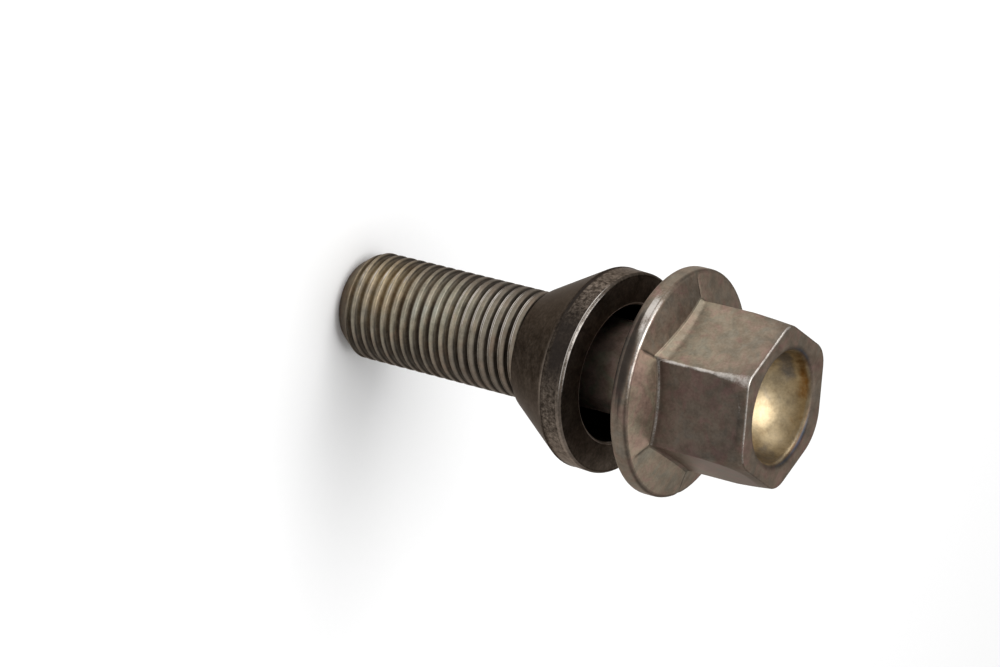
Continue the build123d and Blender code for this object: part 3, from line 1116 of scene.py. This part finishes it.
def zinc_passivate(finish):
    """The bolt's plating: an iridescent grey-bronze film, golden in the cup, rubbed bare on the edges, with
    painted light, shade, highlights and reflections from the marks.
    """
    shared = shared_groups(finish)
    made, tree, shader, place = blank_material("zinc_passivate")
    grain = use(tree, shared, "Forged grain", Vector=place, Scale=3200.0)
    thickness, gilt = mark(tree, "film"), mark(tree, "gilt")
    settings = {"Thickness": thickness, "Hue": mark(tree, "hue"), "Scale": 180.0, "Swing": 0.21}
    film = use(tree, shared, "Film colours", Vector=place, **settings)["Color"]
    clouds = noise(tree, place, scale=420.0, detail=4.0, roughness=0.6, distortion=0.5)
    wander = plus(tree, less(tree, clouds, 0.5), thickness)
    # Gold in the cup, with painted dark reflections and a painted amber interreflection
    dull = mixed(tree, eased(tree, wander, 0.05, 0.5), finish.moss, finish.gold)
    gilding = mixed(tree, eased(tree, wander, 0.5, 0.95), dull, finish.amber)
    gilded = mixed(tree, gilt, film, gilding)
    weather = {"dark_blotch": (0.76, 0.75, 0.74), "grime_share": 0.75, "wear_scale": 4200.0}
    tone, wear = weathered(tree, shared, place, finish, gilded, grain["Blotch"], **weather)
    smoothed = plus(tree, times(tree, wear, 0.12), times(tree, gilt, 0.08))
    roughness = less(tree, ranged(tree, grain["Blotch"], 0.37, 0.57), smoothed)
    plate(tree, shader, tone, roughness, (0.7, 0.66, 0.62), grain["Height"])
    return made


def dark_passivate(finish):
    """The collar's darker film, mottled on the rim and rubbed bare on the back edge, with painted light,
    shade and highlights from the marks.
    """
    shared = shared_groups(finish)
    made, tree, shader, place = blank_material("dark_passivate")
    grain = use(tree, shared, "Forged grain", Vector=place, Scale=2300.0)
    patches = eased(tree, noise(tree, place, scale=2300.0, detail=5.0, roughness=0.75), 0.28, 0.78)
    # Pale patches, more of them where the marks paint light
    pale = times(tree, patches, plus(tree, times(tree, mark(tree, "film"), 0.78), 0.2))
    scaled = mixed(tree, pale, finish.collar_tone, finish.collar_scale)
    dusted = mixed(tree, mark(tree, "gilt"), scaled, finish.collar_scale)
    weather = {"dark_blotch": (0.62, 0.62, 0.62), "grime_share": 1.0, "wear_scale": 4000.0}
    tone = weathered(tree, shared, place, finish, dusted, grain["Blotch"], **weather)[0]
    roughness = ranged(tree, grain["Blotch"], 0.36, 0.55)
    plate(tree, shader, tone, roughness, (0.62, 0.57, 0.53), grain["Height"])
    return made


def floor_paper(stage):
    """Matt pale floor."""
    made, tree, shader, place = blank_material("floor_paper")
    fibre = noise(tree, place, scale=900.0, detail=3.0)
    shade = [FIBRE_SHADE * level for level in stage.floor_tone]
    tree.links.new(mixed(tree, fibre, shade, stage.floor_tone), shader.inputs["Base Color"])
    shader.inputs["Roughness"].default_value = 0.85
    shader.inputs["Specular IOR Level"].default_value = 0.15
    return made


# Operators
class WHEELBOLT_OT_bolt(bpy.types.Operator):
    """Build the bolt: rolled thread, shank, creased flange, crowned hex and cup, in one skin"""

    bl_idname = "wheel_bolt.bolt"
    bl_label = "Build Bolt"

    def execute(self, context):
        scene = context.scene
        thread, head = scene.bolt_thread, scene.bolt_head
        skin = Skin()
        low_ring, high_ring, angles = lay_thread(skin, thread, head.shank_radius)
        lay_thread_end(skin, thread, low_ring, angles)
        lay_head(skin, head, high_ring, angles)
        piece = skin.piece("bolt_forging", zinc_passivate(scene.plated_finish))
        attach(piece, "bolt")
        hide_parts("bolt")
        return {"FINISHED"}


class WHEELBOLT_OT_collar(bpy.types.Operator):
    """Build the loose conical collar where the frame's cone seat is"""

    bl_idname = "wheel_bolt.collar"
    bl_label = "Build Collar"

    def execute(self, context):
        scene = context.scene
        skin = Skin()
        half_cone = lay_collar(skin, scene.seat_collar)
        piece = skin.piece("seat_collar", dark_passivate(scene.plated_finish))
        piece.data.transform(collar_place(half_cone))
        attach(piece, "collar")
        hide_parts("collar")
        return {"FINISHED"}


LAMPS = (
    # name, direction from +X, height above the floor in degrees, distance, width, power in watts
    ("overhead_softbox", 232, 70, 0.5, 0.42, 2.2),
    ("side_softbox", 205, 16, 0.4, 0.2, 0.35),
    ("far_softbox", 85, 48, 0.55, 0.34, 0.3),
)
LAMP_AIM = Vector((0, 0, 0.03))
FLOOR_REACH = 3.0
SENSOR_WIDTH = 36.0
NEAREST_SEEN = 0.01


def direction(side, rise):
    """Direction at an angle from +X and an angle above the floor."""
    return Vector((math.cos(rise) * math.cos(side), math.cos(rise) * math.sin(side), math.sin(rise)))


class WHEELBOLT_OT_stage(bpy.types.Operator):
    """Set up the pale floor, the soft lamps and the camera"""

    bl_idname = "wheel_bolt.stage"
    bl_label = "Set Stage"

    def execute(self, context):
        scene = context.scene
        stage = scene.studio_stage
        self.lay_floor(scene, stage)
        self.hang_lamps(scene, stage)
        self.place_camera(scene, stage)
        scene.view_settings.view_transform = "Standard"
        return {"FINISHED"}

    def lay_floor(self, scene, stage):
        mesh = bpy.data.meshes.new("floor")
        ways = ((-1, -1), (1, -1), (1, 1), (-1, 1))
        mesh.from_pydata([(FLOOR_REACH * x, FLOOR_REACH * y, 0) for x, y in ways], [], [(0, 1, 2, 3)])
        mesh.materials.append(floor_paper(stage))
        floor = bpy.data.objects.new("floor", mesh)
        scene.collection.objects.link(floor)

    def hang_lamps(self, scene, stage):
        world = bpy.data.worlds.new("studio_room")
        world.use_nodes = True
        world.node_tree.nodes["Background"].inputs["Color"].default_value = (*stage.room_tone, 1.0)
        scene.world = world
        for name, side, rise, distance, width, power in LAMPS:
            lamp = bpy.data.lights.new(name, "AREA")
            lamp.energy = power
            lamp.size = width
            way = direction(math.radians(side), math.radians(rise))
            hung = bpy.data.objects.new(name, lamp)
            hung.location = LAMP_AIM + way * distance
            hung.rotation_euler = (-way).to_track_quat("-Z", "Y").to_euler()
            hung.visible_camera = False
            scene.collection.objects.link(hung)

    def place_camera(self, scene, stage):
        look = direction(stage.heading, -stage.dip)
        level_right = look.cross(Vector((0, 0, 1))).normalized()
        level_up = level_right.cross(look)
        up = math.cos(stage.roll) * level_up - math.sin(stage.roll) * level_right
        turn = Matrix((look.cross(up), up, -look)).transposed().to_4x4()
        lens = bpy.data.cameras.new("camera")
        lens.lens = stage.lens
        lens.sensor_width = SENSOR_WIDTH
        lens.clip_start = NEAREST_SEEN
        camera = bpy.data.objects.new("camera", lens)
        camera.matrix_world = Matrix.Translation(Vector(stage.aim) - look * stage.distance) @ turn
        scene.collection.objects.link(camera)
        scene.camera = camera


class WHEELBOLT_PT_sidebar(bpy.types.Panel):
    """Sizes, finish and the steps that build the bolt"""

    bl_label = "Wheel Bolt"
    bl_space_type = "VIEW_3D"
    bl_region_type = "UI"
    bl_category = "Wheel Bolt"

    def draw(self, context):
        for step in STEPS:
            self.layout.operator(step.bl_idname)
        for owner in PROPERTY_OWNERS:
            group_of_sizes = getattr(context.scene, owner)
            box = self.layout.box()
            box.label(text=group_of_sizes.__doc__)
            for name in group_of_sizes.__annotations__:
                box.prop(group_of_sizes, name)


PROPERTY_OWNERS = {
    "bolt_thread": BoltThread,
    "bolt_head": BoltHead,
    "seat_collar": SeatCollar,
    "plated_finish": PlatedFinish,
    "studio_stage": StudioStage,
}
STEPS = (WHEELBOLT_OT_bolt, WHEELBOLT_OT_collar, WHEELBOLT_OT_stage)
TOOLS = (*STEPS, WHEELBOLT_PT_sidebar)


def register():
    for owner, kind in PROPERTY_OWNERS.items():
        bpy.utils.register_class(kind)
        setattr(bpy.types.Scene, owner, PointerProperty(type=kind))
    for tool in TOOLS:
        bpy.utils.register_class(tool)


def unregister():
    for tool in reversed(TOOLS):
        bpy.utils.unregister_class(tool)
    for owner, kind in PROPERTY_OWNERS.items():
        delattr(bpy.types.Scene, owner)
        bpy.utils.unregister_class(kind)


def main():
    register()
    bpy.ops.wheel_bolt.bolt()
    bpy.ops.wheel_bolt.collar()
    bpy.ops.wheel_bolt.stage()


if __name__ == "__main__":
    main()
